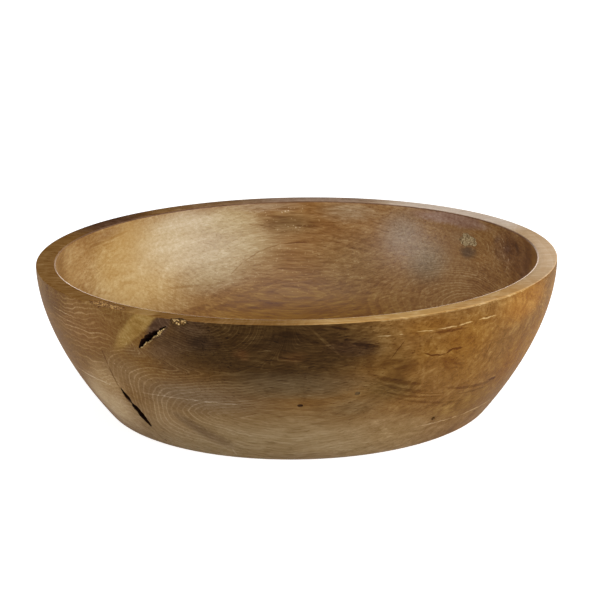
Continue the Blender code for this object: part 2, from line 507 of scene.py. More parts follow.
fillShape = {
    "deep": 0.0022,
    "sides": 44,
    "rows": 12,
    "ragged": 0.00015,
    "edgeWaves": [(0.12, 3, 1), (0.09, 5, 2), (0.06, 11, 1)],
    "bedCells": (96, 40),
    "bedSheet": 1.4,  # the sheet that the bed is cut from, in pocket sizes
    "bedOver": 1.05,  # how far the bed runs into the pocket's edge
    "bedThick": 0.0012,
    "gapDepth": 0.0003,
    "crumbsWithin": 0.86,
}
crumbShape = {"rough": 0.42, "long": (0.8, 1.5), "wide": (0.7, 1.2), "tall": 0.7}


def fillSurface(fill):
    return overTheRim() if fill["on"] == "rim" else upTheWall(insidePoint, fill["height"])


def raggedEdge(x, y, seed):
    # an uneven outline, 1 on average
    return ripples(math.atan2(y, x), seed, fillShape["edgeWaves"], 1)


def pocketCutter(name, fill):
    ball = {"segments": fillShape["sides"], "ring_count": fillShape["rows"], "radius": 0.5}
    cutter = startShape(name + "_cutter", bpy.ops.mesh.primitive_uv_sphere_add, **ball)
    for vertex in cutter.data.vertices:
        edge = raggedEdge(vertex.co.x, vertex.co.y, fill["seed"])
        vertex.co.x *= edge
        vertex.co.y *= edge
    stretch(cutter, fill["long"], fill["wide"], 2 * fillShape["deep"])
    bpy.ops.transform.vertex_random(offset=fillShape["ragged"], seed=fill["seed"])
    bpy.ops.transform.translate(value=(0, fill["lift"], 0))
    deselectAll()
    bendOnto(cutter, fillSurface(fill), fill["bearing"])
    turnOutward(cutter)  # bending onto the inner wall mirrors a piece
    return cutter


def crumbLump(dice, place, size):
    ball = {"subdivisions": 2, "radius": size, "location": place}
    lump = startShape("crumb", bpy.ops.mesh.primitive_ico_sphere_add, **ball)
    editAll(lump)
    bpy.ops.transform.vertex_random(offset=size * crumbShape["rough"], seed=dice.randrange(1000))
    shape = dice.uniform(*crumbShape["long"]), dice.uniform(*crumbShape["wide"]), crumbShape["tall"]
    bpy.ops.transform.resize(value=shape, center_override=place)
    return lump


def packedBed(name, fill):
    # a sheet with the pocket's outline, roughened into grains and given its thickness
    columns, rows = fillShape["bedCells"]
    sheet = {"x_subdivisions": columns, "y_subdivisions": rows, "size": fillShape["bedSheet"]}
    bed = startShape(name, bpy.ops.mesh.primitive_grid_add, **sheet)

    def outside(vertex):
        x, y = vertex.co.x * 2, vertex.co.y * 2
        return math.hypot(x, y) > fillShape["bedOver"] * raggedEdge(x, y, fill["seed"])

    editSome(bed, "VERT", outside)
    bpy.ops.mesh.delete(type="VERT")
    stretch(bed, fill["long"], fill["wide"], 1)
    deselectAll()
    grains = bpy.data.textures.new(name + "_dust", "VORONOI")
    grains.noise_scale = fill["grain"]
    grains.distance_metric = "DISTANCE"
    rough = bed.modifiers.new("rough", "DISPLACE")
    rough.texture = grains
    rough.direction = "Z"
    rough.strength = -fillShape["gapDepth"]
    rough.mid_level = 0
    apply(bed, rough)
    thick = bed.modifiers.new("thick", "SOLIDIFY")
    thick.thickness = fillShape["bedThick"]
    thick.offset = -1
    apply(bed, thick)
    slide(bed, 0, -fill["sunk"])
    return bed


def crumbFill(name, fill, sawdust):
    # a bed of packed grains, just below the wood, with loose crumbs stuck in it
    dice = random.Random(fill["seed"])
    bed = packedBed(name, fill)
    bed.data.materials.append(sawdust[fill["bed"]])
    lumps = []
    for crumb in range(fill["crumbs"]):
        way, far = dice.uniform(0, math.tau), math.sqrt(dice.random()) * fillShape["crumbsWithin"]
        size = dice.uniform(*fill["crumb"])
        x, y = math.cos(way) * far * fill["long"] / 2, math.sin(way) * far * fill["wide"] / 2
        lump = crumbLump(dice, Vector((x, y, -size)), size)
        lump.data.materials.append(sawdust[fill["dust"]])
        lumps.append(lump)
    whole = join([bed, *lumps])
    slide(whole, fill["lift"], 0)
    bendOnto(whole, fillSurface(fill), fill["bearing"])
    turnOutward(whole)
    return whole


checkStrip = {
    "node": "check_fill",
    "dust": "paleSawdust",
    "from": 0.04,
    "to": 0.95,
    "cells": (90, 8),
    "thin": 0.0008,
    "thinWaves": [(0.3, 37, 0), (0.25, 83, 0)],
    "chunk": 0.0022,  # one thick lump
    "chunkAt": 0.74,
    "chunkLong": 0.10,
    "inward": 0.3,  # how much of the width lies over the open check
    "ragged": 0.0001,
    "thick": 0.0012,
    "sunk": 0.0002,
    "crumbs": 26,
    "crumb": (0.0003, 0.0006),
    "crumbsAlong": (0.1, 0.9),
    "crumbsSpread": 0.035,  # of those round the lump
    "crumbsAcross": (0.0001, 0.0007),
    "crumbSink": 1.1,
    "seed": 31,
}


def stripCentre(share):
    # along the upper check's lower lip, from its blunt end at 0 to its drawn end at 1
    return crookAt(checks["upper"], share) - halfWidthAt(checks["upper"], share)


def stripWidth(share):
    swell = math.exp(-((share - checkStrip["chunkAt"]) / checkStrip["chunkLong"]) ** 2)
    return checkStrip["thin"] * ripples(share, 0, checkStrip["thinWaves"], 1) + checkStrip["chunk"] * swell


def packedStrip():
    # the crumbly strip left on the upper check's lower lip
    dice = random.Random(checkStrip["seed"])
    check = checks["upper"]
    columns, rows = checkStrip["cells"]
    sheet = {"x_subdivisions": columns, "y_subdivisions": rows, "size": 1}
    strip = startShape("packed_check", bpy.ops.mesh.primitive_grid_add, **sheet)
    for vertex in strip.data.vertices:
        share = checkStrip["from"] + (checkStrip["to"] - checkStrip["from"]) * (vertex.co.x + 0.5)
        across = stripCentre(share) + stripWidth(share) * (checkStrip["inward"] + vertex.co.y)
        vertex.co = Vector(((share - 0.5) * check["long"], across, 0))
    editAll(strip)
    bpy.ops.transform.vertex_random(offset=checkStrip["ragged"], seed=checkStrip["seed"])
    pushFace((0, 0, -checkStrip["thick"]))
    turnOutward(strip)
    lumps = []
    for crumb in range(checkStrip["crumbs"]):
        anywhere = dice.uniform(*checkStrip["crumbsAlong"])
        atChunk = dice.gauss(checkStrip["chunkAt"], checkStrip["crumbsSpread"])
        share = dice.choice((anywhere, atChunk))
        size = dice.uniform(*checkStrip["crumb"])
        across = stripCentre(share) + dice.uniform(*checkStrip["crumbsAcross"])
        spot = Vector(((share - 0.5) * check["long"], across, -size * checkStrip["crumbSink"]))
        lumps.append(crumbLump(dice, spot, size))
    whole = join([strip, *lumps])
    slide(whole, 0, -checkStrip["sunk"])
    bendOnto(whole, upTheWall(outsidePoint, check["height"]), check["bearing"], check["turn"])
    return whole


# The three pin knots, dark plugs a hair below the surface

knots = {
    "front_knot": {
        "node": "front_pin_knot", "bearing": 0.3, "height": 0.053,
        "wide": 0.0040, "tall": 0.0026, "seed": 41,
        "wood": ((52, 32, 18), (82, 54, 30)),
    },
    "middle_knot": {
        "node": "middle_pin_knot", "bearing": 12.5, "height": 0.061,
        "wide": 0.0034, "tall": 0.0030, "seed": 42,
        "wood": ((90, 70, 45), (104, 82, 52)),
    },
    "right_knot": {
        "node": "right_pin_knot", "bearing": 34.9, "height": 0.0265,
        "wide": 0.0030, "tall": 0.0036, "seed": 43,
        "wood": ((76, 50, 22), (104, 74, 36)),
    },
}
knotShape = {
    "sides": 30,
    "deep": 0.005,
    "below": 0.0002,
    "proud": 0.002,  # how far the cutter stands out
    "gap": 0.00012,
    "ragged": 0.00012,
    "ringShare": 0.09,  # a ring's width, as a share of the knot's height
    "ringStep": 0.00012,
    "ringSteps": (1, -1, 1, -3),
}


def knotBody(name, knot, grow, top):
    deep = knotShape["deep"]
    rod = {"vertices": knotShape["sides"], "radius": 0.5, "depth": deep, "location": (0, 0, top - deep / 2)}
    body = startShape(name, bpy.ops.mesh.primitive_cylinder_add, **rod)
    settle(body)
    stretch(body, knot["wide"] + grow, knot["tall"] + grow, 1)
    bpy.ops.transform.vertex_random(offset=knotShape["ragged"], seed=knot["seed"])
    deselectAll()
    return body


def knotCutter(name, knot):
    cutter = knotBody(name + "_cutter", knot, 2 * knotShape["gap"], knotShape["proud"])
    bendOnto(cutter, upTheWall(outsidePoint, knot["height"]), knot["bearing"])
    return cutter


def pinKnot(name, knot):
    # growth rings as small steps round a sunken heart
    plug = knotBody(name, knot, 0, -knotShape["below"])
    editSome(plug, "FACE", lambda face: face.normal.z > 0.9 and len(face.vertices) > 4)
    for step in knotShape["ringSteps"]:
        wide, high = knot["tall"] * knotShape["ringShare"], step * knotShape["ringStep"]
        bpy.ops.mesh.inset(thickness=wide, depth=high)
    deselectAll()
    bendOnto(plug, upTheWall(outsidePoint, knot["height"]), knot["bearing"])
    return plug


# Wood: what is shared by every face of the bowl

rings = {
    # flat-topped year rings with rounded ends, closing round a spot low on the front
    "heart": (-0.004, -0.176, 0.0405),
    "acrossSlope": 0.9,
    "upSlope": 1.1,
    "upStart": 0.044,
    "dome": 0.22,
    "corner": 0.022,
    "width": 0.0027,
    "line": 0.22,  # half a pale line's width, as a share of a year
    "lineMiddle": 0.02,  # the part of it that is fully pale
    "faintest": 0.3,
    "toneShift": (0.1, 0.9),
    # scale and reach of the noise that bends the rings
    "bends": [(11, 0.016), (70, 0.0034)],
    # left of the lower check lies another growth, whose lines are nearly level: x and lean of its two edges
    "leftEdges": [(-0.0985, -0.52), (-0.1734, 0.54)],
    "leftSoft": 0.0015,
    "leftSlope": 0.75,
    "leftBend": (30, 0.024),
    # place, reach, slope and flatness of a whorl with rings of its own: one inside, one under the front rim
    "whorls": [
        ((0.149, 0.078, 0.0450), 0.16, 0.46, 3.4),
        ((-0.068, -0.188, 0.119), 0.078, 0.95, 1.7),
    ],
    "whorlSolid": 0.55,
}


def makeWanderingPlace():
    # a place pushed about by noise, so that what is drawn on it loses its ruled edge
    takes = {"Place": "Vector", "Scale": "Float", "Reach": "Float"}
    group, given, out = newGroup("wanderingPlace", takes, {"Place": "Vector"})
    noise = noisy(group, given["Place"], given["Scale"], 2)["Color"]
    push = workVector(group, "SUBTRACT", noise, (0.5, 0.5, 0.5))
    reach = {0: push, "Scale": given["Reach"]}
    pushed = put(group, "ShaderNodeVectorMath", reach, operation="SCALE").outputs[0]
    group.links.new(workVector(group, "ADD", given["Place"], pushed), out["Place"])
    return group


def wander(tree, place, scale, reach):
    return useGroup(tree, wanderingPlace, {"Place": place, "Scale": scale, "Reach": reach})["Place"]


def yearsFromHeart(group, x, z):
    aside = work(group, "ABSOLUTE", work(group, "SUBTRACT", x, rings["heart"][0]))
    above = work(group, "ABSOLUTE", work(group, "SUBTRACT", z, rings["heart"][2]))
    across = work(group, "MULTIPLY", aside, rings["acrossSlope"])
    domed = work(group, "MULTIPLY_ADD", aside, rings["dome"], rings["upStart"])
    up = work(group, "MULTIPLY_ADD", above, rings["upSlope"], domed)
    return work(group, "SMOOTH_MAX", across, up, rings["corner"])


def toneOf(group, year):
    return put(group, "ShaderNodeTexWhiteNoise", {"W": year}, noise_dimensions="1D").outputs["Value"]


def makeGrowthRings():
    # thin pale lines between the years, and a tone for each year
    group, given, out = newGroup("growthRings", {"Place": "Vector"}, {"Line": "Float", "Tone": "Float"})
    place = given["Place"]
    for scale, reach in rings["bends"]:
        place = wander(group, place, scale, reach)
    x, y, z = put(group, "ShaderNodeSeparateXYZ", {0: place}).outputs
    far = yearsFromHeart(group, x, z)
    edges = [work(group, "MULTIPLY_ADD", z, lean, start) for start, lean in rings["leftEdges"]]
    past = work(group, "SUBTRACT", x, work(group, "MAXIMUM", *edges))
    left = smooth(group, past, rings["leftSoft"], -rings["leftSoft"])
    wavy = wander(group, place, *rings["leftBend"])
    level = put(group, "ShaderNodeSeparateXYZ", {0: wavy}).outputs[2]
    far = mixValue(group, left, far, work(group, "MULTIPLY", level, rings["leftSlope"]))
    for spot, reach, slope, flat in rings["whorls"]:
        off = workVector(group, "MULTIPLY", workVector(group, "SUBTRACT", place, spot), (1, 1, flat))
        near = measure(group, "LENGTH", off)
        share = smooth(group, near, reach, reach * rings["whorlSolid"])
        far = mixValue(group, share, far, work(group, "MULTIPLY", near, slope))
    years = work(group, "DIVIDE", far, rings["width"])
    year = work(group, "FLOOR", years)
    share = work(group, "FRACT", years)
    this, following = toneOf(group, year), toneOf(group, work(group, "ADD", year, 1))
    shift = smooth(group, share, *rings["toneShift"])
    group.links.new(mixValue(group, shift, this, following), out["Tone"])
    offLine = work(group, "ABSOLUTE", work(group, "SUBTRACT", share, 0.5))
    line = smooth(group, offLine, rings["line"], rings["lineMiddle"])
    strength = work(group, "MULTIPLY_ADD", this, 1 - rings["faintest"], rings["faintest"])
    group.links.new(work(group, "MULTIPLY", line, strength), out["Line"])
    return group


grainShape = {
    # how tightly the noise is drawn together along the fibres and across them
    "fibre": (24, 480),
    "pore": (70, 1300),
    "cloud": (9, 30, 30),  # these two don't turn, so they have x, y and z
    "mottle": (44, 150, 150),
    "speck": 620,
    "bend": 14,
    "curl": (26, 0.05),  # scale and reach of the noise that curls the mottling
    "fibreCrisp": 0.72,
    "mottleCrisp": 0.62,
    "poreFrom": (0.60, 0.72),
    "speckFrom": (0.72, 0.80),
    "turnsAt": (0.8, 1.6),  # x over y where the fibres have turned round with the wall
    "turnsAbove": (0.035, 0.075),
    "leastY": 0.01,
}


def makeFibreGrain():
    # fibres run along x, with end grain at the two sides; with Around at 1 they turn with the wall instead
    takes = {"Place": "Vector", "Around": "Float", "Reach": "Float"}
    gives = {name: "Float" for name in ("Fibre", "Pore", "Cloud", "Mottle", "Speck")}
    group, given, out = newGroup("fibreGrain", takes, gives)
    place = wander(group, given["Place"], grainShape["bend"], given["Reach"])
    x, y, z = put(group, "ShaderNodeSeparateXYZ", {0: given["Place"]}).outputs
    ahead = work(group, "MAXIMUM", work(group, "ABSOLUTE", y), grainShape["leastY"])
    side = work(group, "ABSOLUTE", work(group, "DIVIDE", x, ahead))
    onWall = work(group, "MULTIPLY", smooth(group, z, *grainShape["turnsAbove"]), given["Around"])
    turned = work(group, "MULTIPLY", smooth(group, side, *grainShape["turnsAt"]), onWall)

    def drawn(size, detail, crisp=0.5):
        # noise drawn out along x, or along y where the fibres have turned
        along, across = size
        straight = noisy(group, stretched(group, place, (along, across, across)), 1, detail, crisp)["Fac"]
        sideways = noisy(group, stretched(group, place, (across, along, across)), 1, detail, crisp)["Fac"]
        return mixValue(group, turned, straight, sideways)

    fibre = drawn(grainShape["fibre"], 4, grainShape["fibreCrisp"])
    pore = drawn(grainShape["pore"], 1)
    cloud = noisy(group, stretched(group, place, grainShape["cloud"]), 1, 3)["Fac"]
    speck = noisy(group, given["Place"], grainShape["speck"], 0)["Fac"]
    curled = wander(group, given["Place"], *grainShape["curl"])
    figure = stretched(group, curled, grainShape["mottle"])
    mottle = noisy(group, figure, 1, 5, grainShape["mottleCrisp"])["Fac"]
    group.links.new(mottle, out["Mottle"])
    group.links.new(fibre, out["Fibre"])
    group.links.new(smooth(group, pore, *grainShape["poreFrom"]), out["Pore"])
    group.links.new(cloud, out["Cloud"])
    group.links.new(smooth(group, speck, *grainShape["speckFrom"]), out["Speck"])
    return group


def insideOval(group, given):
    # how far a place lies along, through and across an oval, 1 at its edge
    off = workVector(group, "SUBTRACT", given["Place"], given["Middle"])
    axes = [given["Along"], given["Through"], given["Across"]]
    return [measure(group, "DOT_PRODUCT", off, axis) for axis in axes]


ovalTakes = {name: "Vector" for name in ("Place", "Middle", "Along", "Through", "Across")}
markShape = {
    "patchDepth": 0.030,  # how far into the wood a small patch and a stroke reach
    "strokeDepth": 0.06,
    "strokeEdge": 0.7,
}


def makeSoftPatch():
    # an oval of another colour, faded at its edge
    takes = {"Under": "Color", **ovalTakes, "Solid": "Float", "Colour": "Color", "Strength": "Float"}
    group, given, out = newGroup("softPatch", takes, {"Colour": "Color"})
    along, through, across = insideOval(group, given)
    spread = put(group, "ShaderNodeCombineXYZ", {0: along, 1: through, 2: across}).outputs[0]
    far = measure(group, "LENGTH", spread)
    share = work(group, "MULTIPLY", smooth(group, far, 1, given["Solid"]), given["Strength"])
    group.links.new(mixColour(group, share, given["Under"], given["Colour"]), out["Colour"])
    return group


def makeWoodMark():
    # a stroke with pointed ends, which may bow to one side
    takes = {"Under": "Float", **ovalTakes, "Bow": "Float", "Strength": "Float"}
    group, given, out = newGroup("woodMark", takes, {"Mask": "Float"})
    along, through, across = insideOval(group, given)
    taper = work(group, "SUBTRACT", 1, work(group, "MULTIPLY", along, along))
    bowed = work(group, "MULTIPLY_ADD", taper, given["Bow"], across)
    body = work(group, "SUBTRACT", taper, work(group, "MULTIPLY", bowed, bowed))
    near = work(group, "COMPARE", through, 0, 1)
    solid = smooth(group, body, 0, markShape["strokeEdge"])
    mask = work(group, "MULTIPLY", solid, work(group, "MULTIPLY", near, given["Strength"]))
    group.links.new(work(group, "MAXIMUM", given["Under"], mask), out["Mask"])
    return group


wanderingPlace = makeWanderingPlace()
growthRings = makeGrowthRings()
fibreGrain = makeFibreGrain()
softPatch = makeSoftPatch()
woodMark = makeWoodMark()


# Where a colour or a stroke lies: bearings in degrees from the front towards the right,
# heights and sizes in mm

def spotOn(wall, bearing, height):
    point = wallAt(wall, height / 1000)[0]
    return turnedPoint(math.radians(bearing), point.x, point.y)


def ovalAt(middle, bearing, turn, wide, deep, tall):
    # half sizes in metres; each axis is as long as makes the oval's edge come to 1
    right = Vector((math.cos(bearing), math.sin(bearing), 0))
    inward, up = Vector((-right.y, right.x, 0)), Vector((0, 0, 1))
    return {
        "Middle": middle,
        "Along": (right * math.cos(turn) + up * math.sin(turn)) / wide,
        "Through": inward / deep,
        "Across": (up * math.cos(turn) - right * math.sin(turn)) / tall,
    }


def layPatches(tree, wall, under, place, patches):
    colour = under
    for bearing, height, wide, tall, turn, solid, tint, strength in patches:
        shade = paint(*tint) if isinstance(tint, tuple) else (tint, tint, tint, 1)
        sizes = wide / 1000, max(wide / 1000, tall / 1000, markShape["patchDepth"]), tall / 1000
        oval = ovalAt(spotOn(wall, bearing, height), math.radians(bearing), math.radians(turn), *sizes)
        patch = {"Solid": solid, "Colour": shade, "Strength": strength}
        colour = useGroup(tree, softPatch, {"Under": colour, "Place": place, **oval, **patch})["Colour"]
    return colour


def drawMarks(tree, wall, place, marks):
    mask = 0.0
    for start, end, wide, bow, strength in marks:
        a, b = spotOn(wall, *start), spotOn(wall, *end)
        bearing = math.atan2((a + b).x, -(a + b).y)
        step = b - a
        along = step.x * math.cos(bearing) + step.y * math.sin(bearing)
        sizes = math.hypot(along, step.z) / 2, markShape["strokeDepth"], wide / 2000
        oval = ovalAt((a + b) / 2, bearing, math.atan2(step.z, along), *sizes)
        stroke = {"Bow": -bow / (wide / 2), "Strength": strength}
        mask = useGroup(tree, woodMark, {"Under": mask, "Place": place, **oval, **stroke})["Mask"]
    return mask


outsideLook = {
    "base": (114, 80, 37),
    # bearing, height, half width, half height, turn, solid share, colour, strength
    "patches": [
        (-8, 6, 165, 60, 0, 0.25, (144, 121, 86), 0.95),  # paler towards the foot
        (-54, 30, 40, 34, 15, 0.3, (176, 150, 112), 0.9),
        (-49, 54, 30, 24, 0, 0.2, (156, 126, 84), 0.8),
        (-33, 30, 34, 26, 0, 0.1, (138, 109, 72), 0.7),
        (-22, 56, 78, 20, 0, 0.1, (116, 97, 74), 0.7),
        (-24.5, 25, 40, 9, -34, 0.2, (110, 86, 58), 0.85),  # grey band
        (2, 4, 46, 6, 0, 0.2, (132, 108, 78), 0.6),
        (-50, 98, 50, 30, 0, 0.3, (119, 82, 42), 0.8),  # left
        (-60, 106, 22, 14, 0, 0.2, (98, 64, 24), 0.8),
        (-67, 104, 30, 14, 0, 0.1, (88, 57, 22), 0.7),
        (-40, 68, 36, 20, 0, 0.1, (126, 97, 61), 0.8),
        (-26, 82, 30, 22, 0, 0.1, (94, 68, 41), 0.7),
        (-5, 99, 104, 44, 0, 0.42, (55, 36, 13), 0.97),  # dark heart at the front
        (0, 68, 84, 16, 0, 0.1, (95, 78, 54), 0.7),
        (-20, 101, 24, 12, 0, 0.1, (46, 30, 17), 0.8),
        (-3, 104, 30, 12, 0, 0.1, (48, 31, 12), 0.8),
        (-22, 111, 24, 9, 0, 0.2, (66, 46, 28), 0.85),
        (-26.5, 99, 23, 14, 0, 0.3, (70, 48, 27), 0.85),
        (-29, 90, 20, 9, 0, 0.2, (90, 65, 41), 0.7),
        (-35, 87, 16, 8, 0, 0.2, (104, 76, 46), 0.6),
        (-11, 93, 9, 6, 0, 0.1, (92, 58, 28), 0.5),
        (-1, 92, 13, 6, 10, 0.1, (86, 56, 26), 0.4),
        (11, 98, 26, 8, -8, 0.3, (56, 36, 18), 0.8),  # tongue of dark wood
        (27, 107, 28, 10, 0, 0.2, (114, 76, 26), 0.8),
        (38, 92, 40, 26, 0, 0.2, (122, 84, 33), 0.9),  # golden right side
        (56, 106, 50, 22, 0, 0.3, (136, 92, 36), 0.9),
        (20, 62, 30, 16, -10, 0.2, (91, 67, 32), 0.8),
        (20, 80, 22, 18, 0, 0.2, (92, 63, 24), 0.7),
        (27, 88, 16, 14, 0, 0.1, (116, 80, 30), 0.7),
        (42, 62, 40, 20, 0, 0.1, (114, 77, 27), 0.7),
        (44, 34, 44, 20, 0, 0.1, (115, 82, 32), 0.8),
        (25, 20, 34, 16, 0, 0.1, (136, 109, 70), 0.7),
        (12, 50, 34, 14, 0, 0.1, (104, 83, 54), 0.6),
        (32, 101, 18, 5, 3, 0.1, (98, 60, 22), 0.6),
        (33, 77, 18, 12, -20, 0.1, (98, 62, 22), 0.6),
        (36, 84, 40, 30, 0, 0.1, (108, 69, 14), 0.45),
        (57, 58, 28, 34, 0, 0.1, (116, 74, 8), 0.7),
        (67, 62, 32, 46, 0, 0.2, (118, 76, 2), 0.8),
        (74, 84, 30, 44, 0, 0.1, (134, 94, 38), 0.7),
        (100, 70, 60, 36, 8, 0.1, (122, 82, 38), 0.7),  # the sides and back, hidden from the front
        (135, 96, 60, 24, -6, 0.1, (86, 58, 31), 0.8),
        (172, 44, 80, 30, 4, 0.1, (140, 108, 66), 0.8),
        (-150, 88, 56, 30, 6, 0.1, (104, 72, 38), 0.8),
        (-105, 60, 60, 40, -8, 0.1, (136, 102, 58), 0.7),
        (-85, 98, 40, 20, 0, 0.1, (104, 72, 38), 0.7),
        (158, 74, 60, 10, 6, 0.1, (96, 66, 34), 0.8),
        (-168, 104, 50, 10, -4, 0.1, (150, 114, 62), 0.7),
        (-176, 66, 50, 12, -6, 0.1, (110, 78, 42), 0.8),
        (-132, 40, 50, 16, 8, 0.1, (152, 120, 76), 0.7),
        (122, 34, 46, 14, -8, 0.1, (140, 104, 56), 0.7),
    ],
    # the same, but with a plain edge
    "crispPatches": [
        (-32, 113.6, 48, 8, 43, 0.65, (146, 114, 60), 0.95),  # sapwood wedge
        (-28.4, 109, 17, 7.5, 43, 0.5, (78, 56, 40), 0.9),
    ],
    # from, to, width in mm, bow in mm, strength
    "darkMarks": [
        ((21.9, 101), (18.3, 84), 0.8, 0, 0.5),
        ((25.7, 88.2), (32.2, 84), 1.7, -2.0, 0.6),
        ((31.4, 83.6), (33.8, 87), 1.8, 0, 0.6),
        ((32.8, 86.4), (36.2, 85.4), 2.6, 0, 0.55),
        ((13, 79), (29, 61), 4.5, -2.5, 0.25),  # streaks that sag in the middle
        ((15, 72), (32, 53), 3.2, -3.0, 0.25),
        ((17, 68), (30, 55), 2.0, -2.0, 0.22),
        ((16.4, 63), (37, 46.5), 2.4, -3.0, 0.25),
        ((19.4, 56), (43, 37.5), 2.2, -3.0, 0.22),
        ((24, 50), (47, 36), 1.8, -2.5, 0.18),
        ((22, 60), (36, 49), 1.6, -1.5, 0.22),
        ((32.4, 56), (54, 46.5), 3.2, -3.0, 0.3),
        ((36.7, 46.4), (52, 43), 1.8, -1.5, 0.22),
        ((49, 48.5), (53.2, 47.5), 3.0, 0, 0.6),
        ((41.9, 114), (41.3, 106), 1.4, 0, 0.4),
        ((45, 87), (43.4, 70), 1.0, 0, 0.4),
        ((50, 73), (48.2, 64), 1.0, 0, 0.35),
        ((6, 114), (10.5, 110.5), 3.0, 0, 0.3),
        ((10, 101.5), (17, 96), 3.6, 0, 0.4),
        ((52.4, 18.2), (53.6, 17.2), 2.2, 0, 0.7),
        ((-45.7, 83), (-45.2, 68), 1.5, 0, 0.5),
        ((-45.3, 70), (-44.9, 48), 1.9, 0, 0.6),
        ((-44.8, 45), (-43.7, 37.5), 3.6, 0, 0.9),
        ((-41.6, 19.5), (-39.8, 5), 1.4, 0, 0.3),
        ((-39.6, 7.4), (-39.0, 5.6), 2.2, 0, 0.8),
        ((27, 101.8), (37, 100.4), 2.6, 0, 0.4),
    ],
    "lightMarks": [
        ((-69, 50.6), (-44.8, 50.2), 1.3, 0, 0.75),
        ((-43.4, 50.7), (-8, 52), 1.1, 1.6, 0.5),
        ((-45.1, 36), (-42.6, 21), 1.2, 0, 0.35),
        ((-43.0, 72.4), (-42.5, 72.0), 1.0, 0, 0.8),
        ((-41.4, 70.6), (-40.9, 70.4), 1.0, 0, 0.7),
        ((-40.2, 68.4), (-39.7, 68.2), 0.9, 0, 0.7),
        ((1.8, 115.5), (9.5, 88.5), 2.6, 0, 0.28),
        ((0.2, 103.6), (3.4, 103.4), 0.8, 0, 0.3),
        ((-9.5, 96.7), (-4.4, 97.1), 0.7, 0, 0.35),
        ((15.4, 104.6), (18.9, 104.2), 1.2, 0, 0.7),  # broken score line
        ((20.2, 104.3), (21.2, 104.1), 1.1, 0, 0.7),
        ((23.4, 104.5), (28.6, 103.5), 1.1, 0, 0.7),
        ((28.4, 104.0), (34.3, 103.3), 1.3, 0, 0.9),
        ((33.6, 103.7), (38, 104.2), 1.5, 0, 1.0),
        ((38.6, 104.4), (45, 103.8), 1.4, 0, 1.0),
        ((29.5, 21.8), (47, 20.6), 1.0, 0, 0.8),
        ((44, 20.7), (62.5, 20.8), 1.1, 0, 1.0),
        ((12, 25.4), (26.5, 18.6), 0.9, 0, 0.2),
        ((12.6, 16.4), (28, 8.8), 0.9, 0, 0.2),
        ((-17.9, 10.4), (-17.2, 2.5), 1.6, 0, 0.4),
        ((14, 115.2), (30, 115.2), 1.3, 0, 0.5),  # painted highlight along the rim's rounded outer edge
        ((28, 115.2), (44, 115.2), 1.3, 0, 0.7),
        ((42, 115.2), (58, 115.2), 1.3, 0, 0.7),
        ((-66, 100.4), (-50, 100.2), 0.9, 0, 0.7),
        ((-65, 96), (-51.5, 94.6), 0.8, 0, 0.55),
    ],
    # how plainly the growth lines show
    "lineShow": [
        (-28, 62, 90, 70, 0, 0.4, 0.95, 1),
        (-52, 92, 46, 36, 0, 0.3, 1.5, 1),
        (-1, 40, 44, 28, 0, 0.2, 0.35, 1),
        (50, 60, 150, 110, 0, 0.45, 0.04, 1),
        (-12, 98, 56, 26, 0, 0.3, 0.65, 1),
        (-33, 104, 20, 18, 0, 0.4, 0.12, 1),
        (178, 66, 130, 80, 0, 0.4, 1.1, 1),
    ],
    "speckShow": [(64, 98, 34, 34, 0, 0.3, 0.8, 1)],
    "wall": outsidePoint, "plainLines": 0.45, "specks": 0.1, "mottle": 1.0, "streaks": 0.7,
    "lift": 0.010, "wander": 0.008, "roughness": 0.55, "gloss": 0.05,
}

